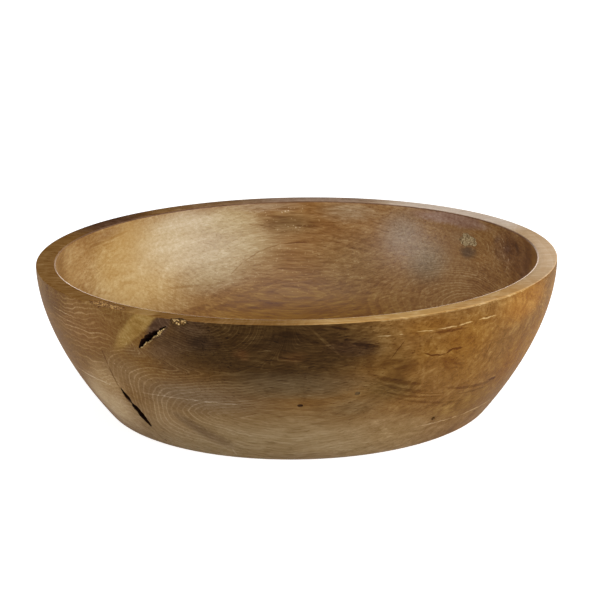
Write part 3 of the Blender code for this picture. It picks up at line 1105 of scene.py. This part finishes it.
insideLook = {
    "base": (140, 100, 52),
    "patches": [
        (180, 28, 150, 34, 0, 0.3, (132, 88, 14), 0.9),  # floor and the bottom of the back wall
        (-130, 78, 90, 60, 0, 0.3, (192, 158, 100), 0.95),  # pale left side
        # painted sheen: this patch and the other pale greyish ones between bearings -146 and -166 are lighter
        # and greyer where the inner wall shows a soft highlight
        (-146, 88, 60, 40, 0, 0.1, (202, 182, 142), 0.8),
        (-158, 70, 46, 28, 0, 0.1, (190, 168, 126), 0.8),
        (-168, 78, 40, 34, 0, 0.1, (172, 142, 95), 0.7),
        (-105, 96, 46, 34, 0, 0.2, (176, 138, 84), 0.8),
        (-122, 109, 30, 8, -6, 0.1, (152, 114, 68), 0.8),
        (-161, 101, 44, 20, 0, 0.2, (184, 162, 118), 0.85),
        (-172, 112, 44, 7, 0, 0.1, (162, 136, 104), 0.8),
        (-152, 56, 38, 16, 0, 0.1, (182, 158, 116), 0.6),
        (-150, 105, 42, 12, 0, 0.1, (204, 186, 152), 0.6),
        (-166, 82, 38, 20, 0, 0.1, (190, 170, 128), 0.6),
        (-178, 96, 34, 16, 0, 0.1, (136, 108, 68), 0.8),  # dark patch under the back rim
        (164, 62, 50, 36, 0, 0.1, (132, 97, 50), 0.7),
        (166, 107, 36, 12, 0, 0.1, (158, 133, 100), 0.7),
        (150, 92, 30, 26, 0, 0.1, (152, 130, 104), 0.75),
        (141, 72, 30, 28, 0, 0.1, (128, 106, 74), 0.75),
        (134, 111, 54, 8, 0, 0.4, (150, 118, 100), 0.9),
        (112, 100, 36, 24, 0, 0.2, (110, 72, 40), 0.85),  # reddish swirl
        (119, 70, 46, 26, 0, 0.1, (126, 85, 41), 0.8),
        (104, 98, 36, 30, 0, 0.1, (108, 70, 38), 0.8),
        (131, 98, 20, 10, 0, 0.2, (150, 118, 80), 0.6),
        (127.7, 87, 13, 8, 0, 0.3, (84, 62, 42), 0.8),  # shade below the filled pocket
        (122, 84, 22, 8, -10, 0.1, (158, 116, 64), 0.6),
        (98, 92, 20, 34, 0, 0.2, (98, 62, 40), 0.75),  # dark right end
        (-50, 72, 80, 44, 0, 0.1, (174, 136, 80), 0.8),  # the near wall, which the front view doesn't reach
        (40, 76, 70, 40, 0, 0.1, (126, 88, 46), 0.8),
        (0, 96, 50, 20, 0, 0.1, (106, 74, 40), 0.7),
    ],
    "crispPatches": [
        (112, 98, 20, 13, -10, 0.1, (96, 60, 32), 0.7),  # swirl with a dark heart
        (111.5, 99, 9, 6, -20, 0.1, (74, 42, 26), 0.85),
        (117, 103, 8, 4, -30, 0.1, (84, 52, 32), 0.7),
        (106, 103, 9, 4, 35, 0.1, (80, 50, 34), 0.7),
        (116, 92, 10, 4, 30, 0.1, (100, 62, 32), 0.5),
        (108, 107, 10, 4, 20, 0.1, (92, 58, 34), 0.5),
        (120, 101, 8, 5, 0, 0.1, (156, 114, 62), 0.5),
    ],
    "darkMarks": [
        ((-160, 57), (-165, 67), 1.2, 0, 0.4),  # the thin crooked line up the back
        ((-164.5, 66), (-170.5, 75), 1.2, 0, 0.5),
        ((-170, 74.5), (-176, 79.2), 1.2, 0, 0.5),
        ((-175.5, 79), (177, 80.8), 1.2, 0, 0.35),
        ((-113, 104), (-122, 104), 3.0, 0, 0.25),  # streaks at the upper left
        ((-121, 103.5), (-131, 107), 3.0, 0, 0.3),
        ((-119, 101), (-126, 101.5), 2.0, 0, 0.25),
        ((-136, 55), (-153, 51.5), 2.5, 0, 0.25),
        ((-151, 51.5), (-168, 53), 2.5, 0, 0.25),
        ((-136, 34.4), (-152, 38), 5.0, 0, 0.2),
        ((-146, 33.6), (-166, 37.5), 5.0, 0, 0.2),
        ((-160, 31), (-178, 35), 5.0, 0, 0.2),
        ((-170, 34), (172, 38), 4.0, 0, 0.15),
        ((144.7, 67), (139, 43), 5.0, 0, 0.12),
        ((-104.9, 96.4), (-104.6, 95.2), 1.2, 0, 0.8),
        ((-171, 104), (-178, 101), 3.0, 0, 0.3),  # dark flecks under the back rim
        ((-174, 110), (178, 108), 2.4, 0, 0.35),
        ((-179, 95), (173, 93), 2.4, 0, 0.3),
        ((-168, 98), (-175, 92), 2.0, 0, 0.3),
        ((172, 84), (158, 74), 3.0, 1.5, 0.2),
        ((-172, 60), (172, 58), 3.0, 1.0, 0.2),
        ((164, 52), (150, 50), 3.0, 0, 0.2),
    ],
    "lightMarks": [
        ((150.3, 99), (148.8, 88), 0.9, 0, 0.5),
        ((-165, 44.7), (173, 51), 1.2, 0, 0.25),
    ],
    "lineShow": [
        (120, 66, 80, 50, 0, 0.3, 1.2, 1),
        (-130, 70, 80, 60, 0, 0.3, 0.3, 1),
    ],
    "speckShow": [
        (180, 58, 120, 34, 0, 0.2, 0.7, 1),
        (-178, 100, 44, 22, 0, 0.2, 1.4, 1),
        (112, 92, 36, 30, 0, 0.2, 1.0, 1),
    ],
    "mottleShow": [
        (-178, 98, 46, 26, 0, 0.2, 4.5, 1),
        (114, 94, 44, 30, 0, 0.2, 4.0, 1),
        (168, 60, 60, 40, 0, 0.2, 2.2, 1),
    ],
    "wall": insidePoint, "plainLines": 0.4, "specks": 0.2, "mottle": 0.3, "streaks": 1.35,
    "around": 1, "fibreReach": 0.006, "lift": 0.005, "wander": 0.007, "roughness": 0.40, "gloss": 0.45,
}

rimLook = {
    "base": (122, 87, 46),
    "patches": [
        (-160, 116, 80, 20, 0, 0.2, (128, 98, 68), 0.95),
        (-126, 116, 66, 20, 0, 0.2, (84, 58, 42), 0.95),  # dark stretch at the back left
        (92, 116, 250, 20, 0, 0.7, (186, 156, 120), 0.95),  # painted sheen: the right half is paler
        (20, 116, 92, 20, 0, 0.4, (178, 140, 86), 0.95),  # golden front
        (46, 116, 70, 20, 0, 0.2, (174, 134, 82), 0.9),
        # painted sheen on the right of the rim
        (86, 116, 80, 20, 0, 0.2, (202, 174, 142), 0.9),
        (134, 116, 104, 20, 0, 0.4, (202, 184, 167), 0.95),  # painted sheen: greyer towards the back
        # painted sheen at the back of the rim
        (174, 116, 84, 20, 0, 0.3, (146, 122, 103), 0.95),
    ],
    "crispPatches": [
        (-33, 116, 13, 24, 0, 0.6, (148, 114, 66), 0.9),  # the sapwood crosses the rim
    ],
    "wall": outsidePoint, "plainLines": 0.35, "specks": 0.3, "mottle": 0.8, "streaks": 0.75,
    "lift": 0.004, "wander": 0.006, "roughness": 0.34, "gloss": 0,
}

# the rim's inner lip: pale at the front and sides, partly wear and partly a painted highlight, and dark at
# the back, a painted shade
lipWearAndPaintedLightLook = {
    "base": (250, 222, 198),
    "patches": [
        # painted shade: the lip is dark at the back
        (180, 115, 320, 30, 0, 0.75, (100, 66, 40), 0.95),
        (-90, 115, 90, 30, 0, 0.4, (146, 108, 66), 0.9),
    ],
    "wall": outsidePoint, "plainLines": 0.2, "specks": 0, "mottle": 0.5, "streaks": 0.5,
    "lift": 0.004, "wander": 0.006, "roughness": 0.34, "gloss": 0.03,
}

soleLook = {
    "base": (150, 114, 66),
    "patches": [
        (20, 0, 90, 90, 0, 0.1, (132, 96, 52), 0.8),
        (-140, 0, 90, 90, 0, 0.1, (164, 128, 78), 0.8),
    ],
    "wall": outsidePoint, "plainLines": 0.5, "specks": 0.1, "mottle": 1.0, "streaks": 0.8,
    "lift": 0.010, "wander": 0.008, "roughness": 0.6, "gloss": 0.2,
}

grainDepth = {
    # how far each part of the figure bends the colour, darker above 0 and paler below
    "cloud": 0.42, "year": 0.12, "fibre": 1.0, "mottle": 0.75, "pore": 0.26,
    "dark": 0.75, "line": -0.30, "light": -0.50, "speck": -0.4,
}
woodFeel = {
    "fibreReach": 0.016,
    "patchBend": 34,  # scale of the noise that bends the edges of soft patches
    "tear": (260, 0.0016),  # scale and reach of the noise that roughens strokes and plain edges
    "figure": 1.15,
    "palest": 0.35,
    "roughSpread": 0.22,
    "sunk": {"pore": 0.5, "dark": 0.4, "light": 0.9},
    "bump": (0.35, 0.0005),
}


def shownBy(tree, look, part, plain, place):
    # how strongly a part of the figure shows, which may differ from spot to spot
    spots = look.get(part, [])
    return layPatches(tree, look["wall"], (plain, plain, plain, 1), place, spots) if spots else plain


def woodMaterial(name, look):
    # every streak bends the colour's gamma: above 1 it turns darker and redder, below 1 paler
    material, tree, shader = newMaterial(name)
    place, wall = objectPlace(tree), look["wall"]
    fibres = {"Around": look.get("around", 0), "Reach": look.get("fibreReach", woodFeel["fibreReach"])}
    grain = useGroup(tree, fibreGrain, {"Place": place, **fibres})
    years = useGroup(tree, growthRings, {"Place": place})
    loose = wander(tree, place, woodFeel["patchBend"], look["wander"])
    lift = work(tree, "MULTIPLY", work(tree, "SUBTRACT", grain["Fibre"], 0.5), look["lift"])
    streaky = workVector(tree, "ADD", loose, put(tree, "ShaderNodeCombineXYZ", {2: lift}).outputs[0])
    torn = wander(tree, place, *woodFeel["tear"])
    colour = layPatches(tree, wall, paint(*look["base"]), streaky, look["patches"])
    colour = layPatches(tree, wall, colour, torn, look.get("crispPatches", []))
    show = shownBy(tree, look, "lineShow", look["plainLines"], loose)
    line = work(tree, "MULTIPLY", years["Line"], show)
    figure = work(tree, "SUBTRACT", woodFeel["figure"], show)  # mottled where the growth lines are faint
    dark = drawMarks(tree, wall, torn, look.get("darkMarks", []))
    light = drawMarks(tree, wall, torn, look.get("lightMarks", []))
    bend = 1.0
    tones = {"cloud": grain["Cloud"], "year": years["Tone"], "fibre": grain["Fibre"]}
    for part, value in tones.items():
        depth = grainDepth[part] * look["streaks"]
        bend = work(tree, "MULTIPLY_ADD", work(tree, "SUBTRACT", 0.5, value), depth, bend)
    figure = work(tree, "MULTIPLY", figure, shownBy(tree, look, "mottleShow", 1, loose))
    mottle = work(tree, "MULTIPLY", work(tree, "SUBTRACT", 0.5, grain["Mottle"]), figure)
    bend = work(tree, "MULTIPLY_ADD", mottle, grainDepth["mottle"] * look["mottle"], bend)
    speck = work(tree, "MULTIPLY", grain["Speck"], shownBy(tree, look, "speckShow", look["specks"], loose))
    strokes = {"pore": grain["Pore"], "dark": dark, "line": line, "light": light, "speck": speck}
    for part, value in strokes.items():
        bend = work(tree, "MULTIPLY_ADD", value, grainDepth[part], bend)
    bend = work(tree, "MAXIMUM", bend, woodFeel["palest"])
    tinted = put(tree, "ShaderNodeGamma", {"Color": colour, "Gamma": bend}).outputs[0]
    offFibre = work(tree, "SUBTRACT", grain["Fibre"], 0.5)
    rough = work(tree, "MULTIPLY_ADD", offFibre, woodFeel["roughSpread"], look["roughness"])
    tree.links.new(rough, shader.inputs["Roughness"])
    height = grain["Fibre"]
    for part, sunk in woodFeel["sunk"].items():
        height = work(tree, "MULTIPLY_ADD", strokes[part], -sunk, height)
    dress(tree, shader, tinted, look["gloss"], height, *woodFeel["bump"])
    return material


sawdusts = {
    # the painted shade in the gaps between grains, the darkest and palest grains, and how rare the pale ones
    # are
    "redSawdust": ((100, 66, 38), (150, 108, 62), (240, 198, 126), 1),
    "redBed": ((86, 57, 34), (110, 76, 44), (176, 134, 80), 1.6),
    "paleSawdust": ((66, 46, 24), (152, 114, 60), (236, 204, 144), 1),
    "creamSawdust": ((112, 82, 46), (184, 146, 88), (238, 208, 150), 0.9),
    "darkBed": ((44, 31, 18), (70, 50, 29), (140, 106, 60), 1.8),
    "greySawdust": ((112, 90, 62), (138, 114, 80), (214, 194, 152), 1),
}
dustFeel = {
    "grains": 700,
    "grit": 1500,
    "grainShare": 0.8,
    "gritShare": 0.3,
    "edge": (0.02, 0.16),
    "roughness": 0.8,
    "gloss": 0.04,
    "bump": (0.6, 0.0003),
}


def crumbMaterial(name, gap, dark, pale, rare):
    # each grain has a tone of its own, and the gaps between grains are given a painted shade
    material, tree, shader = newMaterial(name)
    place = objectPlace(tree)
    cells = {"Vector": place, "Scale": dustFeel["grains"]}
    grain = put(tree, "ShaderNodeTexVoronoi", cells).outputs["Color"]
    edge = put(tree, "ShaderNodeTexVoronoi", cells, feature="DISTANCE_TO_EDGE").outputs["Distance"]
    grit = noisy(tree, place, dustFeel["grit"], 2)["Fac"]
    faint = work(tree, "MULTIPLY", grit, dustFeel["gritShare"])
    share = work(tree, "MULTIPLY_ADD", work(tree, "POWER", grain, rare), dustFeel["grainShare"], faint)
    mixed = mixColour(tree, share, paint(*dark), paint(*pale))
    # painted shade along the edges between grains
    mixed = mixColour(tree, smooth(tree, edge, *dustFeel["edge"]), paint(*gap), mixed)
    shader.inputs["Roughness"].default_value = dustFeel["roughness"]
    dress(tree, shader, mixed, dustFeel["gloss"], grit, *dustFeel["bump"])
    return material


brokenFeel = {
    "splinters": (300, 1600, 1600),
    "edge": (0.35, 0.7),
    "roughness": 0.8,
    "gloss": 0.05,
    "bump": (0.7, 0.0005),
}


def brokenMaterial(name, deep, edge):
    # bare broken wood in a pocket, the dark wood of a knot, or the walls of a check, painted near black as
    # shade
    material, tree, shader = newMaterial(name)
    splinter = noisy(tree, stretched(tree, objectPlace(tree), brokenFeel["splinters"]), 1, 3)["Fac"]
    mixed = mixColour(tree, smooth(tree, splinter, *brokenFeel["edge"]), paint(*deep), paint(*edge))
    shader.inputs["Roughness"].default_value = brokenFeel["roughness"]
    dress(tree, shader, mixed, brokenFeel["gloss"], splinter, *brokenFeel["bump"])
    return material


# Camera, light and floor

camera = {
    "aim": Vector((0, 0, 0.060)),
    "away": 1.450,
    "elevation": math.radians(16.16),
    "roll": math.radians(-0.89),
    "lens": 111.28,
    "sensor": 36,
    "shift": (0.00415, 0.0365),
}


def setCamera():
    view = bpy.data.cameras.new("camera")
    view.lens = camera["lens"]
    view.sensor_width = camera["sensor"]
    view.shift_x, view.shift_y = camera["shift"]
    holder = bpy.data.objects.new("camera", view)
    bpy.context.scene.collection.objects.link(holder)
    back = Vector((0, -math.cos(camera["elevation"]), math.sin(camera["elevation"])))
    tilt = Matrix.Rotation(math.pi / 2 - camera["elevation"], 4, "X")
    roll = Matrix.Rotation(camera["roll"], 4, "Z")
    holder.matrix_world = Matrix.Translation(camera["aim"] + back * camera["away"]) @ tilt @ roll
    bpy.context.scene.camera = holder


lights = {
    # bearing from the front towards the right and height above level in degrees, the rest in metres and watts
    "right softbox": {"bearing": 54, "up": 17, "away": 1.7, "wide": 1.3, "tall": 0.9, "watts": 29},
    "left softbox": {"bearing": -64, "up": 17, "away": 1.7, "wide": 0.55, "tall": 0.7, "watts": 12},
    "overhead": {"bearing": 20, "up": 80, "away": 1.6, "wide": 1.2, "tall": 1.2, "watts": 9},
    "back panel": {"bearing": 174, "up": 4.2, "away": 3.0, "wide": 1.8, "tall": 0.4, "watts": 7},
}
worldLight = 0.26


def hangLights():
    for name, lamp in lights.items():
        turn, up = math.radians(lamp["bearing"]), math.radians(lamp["up"])
        out = Vector((math.sin(turn) * math.cos(up), -math.cos(turn) * math.cos(up), math.sin(up)))
        area = bpy.data.lights.new(name, "AREA")
        area.shape = "RECTANGLE"
        area.size, area.size_y = lamp["wide"], lamp["tall"]
        area.energy = lamp["watts"]
        holder = bpy.data.objects.new(name, area)
        bpy.context.scene.collection.objects.link(holder)
        holder.location = out * lamp["away"] + camera["aim"]
        holder.rotation_mode = "QUATERNION"
        holder.rotation_quaternion = (-out).to_track_quat("-Z", "Y")
    world = bpy.data.worlds.new("studio")
    bpy.context.scene.world = world
    world.use_nodes = True
    background = world.node_tree.nodes["Background"].inputs
    background["Color"].default_value = (1, 1, 1, 1)
    background["Strength"].default_value = worldLight


floorLook = {"size": 200, "white": 0.8, "glow": 0.78}


def seenDirectly(tree):
    # 1 for the camera, in reflections and through glass
    path = put(tree, "ShaderNodeLightPath").outputs
    seen = work(tree, "MAXIMUM", path["Is Camera Ray"], path["Is Glossy Ray"])
    return work(tree, "MAXIMUM", seen, path["Is Transmission Ray"])


def layFloor():
    # white to the camera and in reflections, and seen through from below
    floor = startShape("floor", bpy.ops.mesh.primitive_plane_add, size=floorLook["size"])
    material = bpy.data.materials.new("paleFloor")
    material.use_nodes = True
    tree = material.node_tree
    tree.nodes.clear()
    glow = work(tree, "MULTIPLY", seenDirectly(tree), floorLook["glow"])
    white = floorLook["white"]
    matt = put(tree, "ShaderNodeBsdfDiffuse", {"Color": (white, white, white, 1)})
    light = put(tree, "ShaderNodeEmission", {"Strength": glow})
    both = put(tree, "ShaderNodeAddShader", {0: matt.outputs[0], 1: light.outputs[0]})
    clear = put(tree, "ShaderNodeBsdfTransparent")
    below = put(tree, "ShaderNodeNewGeometry")
    sides = {0: below.outputs["Backfacing"], 1: both.outputs[0], 2: clear.outputs[0]}
    mixed = put(tree, "ShaderNodeMixShader", sides)
    put(tree, "ShaderNodeOutputMaterial", {"Surface": mixed.outputs[0]})
    floor.data.materials.append(material)


# Making the bowl

woodLooks = {
    "soleWood": soleLook,
    "outsideWood": outsideLook,
    "rimWood": rimLook,
    "insideWood": insideLook,
    "lipWearAndPaintedLightWood": lipWearAndPaintedLightLook,
}
zones = {
    "rimDown": 1.6,  # in rim edges below the top
    "rimFacing": 0.6,
    "soleUp": 0.3,  # in foot edges above the ground
    "soleFacing": -0.5,
}


def zoneOf(face):
    middle, facing = face.center, face.normal
    lip = rimRadius - bowl["rimWidth"] + bowl["lipWidth"]
    nearRim = middle.z > bowlHeight - bowl["rimEdge"] * zones["rimDown"]
    if nearRim and math.hypot(middle.x, middle.y) < lip:
        return "lipWearAndPaintedLightWood"
    if nearRim and facing.z > zones["rimFacing"]:
        return "rimWood"
    if middle.z < bowl["footEdge"] * zones["soleUp"] and facing.z < zones["soleFacing"]:
        return "soleWood"
    return "outsideWood" if facing.x * middle.x + facing.y * middle.y > 0 else "insideWood"


def paintZones(piece, woods):
    # sole, outside, rim, inside and lip each have their own finish
    for material in woods.values():
        piece.data.materials.append(material)
    names = list(woods)
    for face in piece.data.polygons:
        face.material_index = names.index(zoneOf(face))


def finishPiece(piece, node):
    pick(piece)
    bpy.ops.object.shade_smooth_by_angle(angle=bowl["smoothAngle"])
    deselectAll()
    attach(piece, "root")
    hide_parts(node)


bpy.context.scene.view_settings.view_transform = "Standard"
setCamera()
hangLights()
layFloor()
print("camera, lights and floor are set")

woods = {name: woodMaterial(name, look) for name, look in woodLooks.items()}
sawdust = {name: crumbMaterial(name, *tones) for name, tones in sawdusts.items()}
# painted shade: the checks' walls are near black, as the inside of a deep slot looks
checkPaintedShadeWood = brokenMaterial("checkPaintedShadeWood", (20, 10, 7), (54, 30, 19))
knotEdge = brokenMaterial("knotEdge", (74, 52, 30), (112, 82, 48))
print("mixed the finishes")

turned = turnBowl()
paintZones(turned, woods)
cutters = [checkCutter(name, check) for name, check in checks.items()]
for cutter in cutters:
    cutter.data.materials.append(checkPaintedShadeWood)
pockets = [pocketCutter(name, fill) for name, fill in fills.items()]
for cutter, (name, fill) in zip(pockets, fills.items()):
    cutter.data.materials.append(brokenMaterial(name + "_pocket", *fill["pocket"]))
holes = [knotCutter(name, knot) for name, knot in knots.items()]
for cutter in holes:
    cutter.data.materials.append(knotEdge)
cutBowl(turned, join(cutters + pockets + holes))
finishPiece(turned, "bowl_body")
print("cut the checks and pockets:", len(turned.data.polygons), "faces")

strip = packedStrip()
strip.data.materials.append(sawdust[checkStrip["dust"]])
finishPiece(strip, checkStrip["node"])
for name, fill in fills.items():
    piece = crumbFill(name, fill, sawdust)
    finishPiece(piece, fill["node"])
print("packed the fills")

for name, knot in knots.items():
    piece = pinKnot(name, knot)
    piece.data.materials.append(brokenMaterial(name + "_wood", *knot["wood"]))
    finishPiece(piece, knot["node"])
print("set the knots")
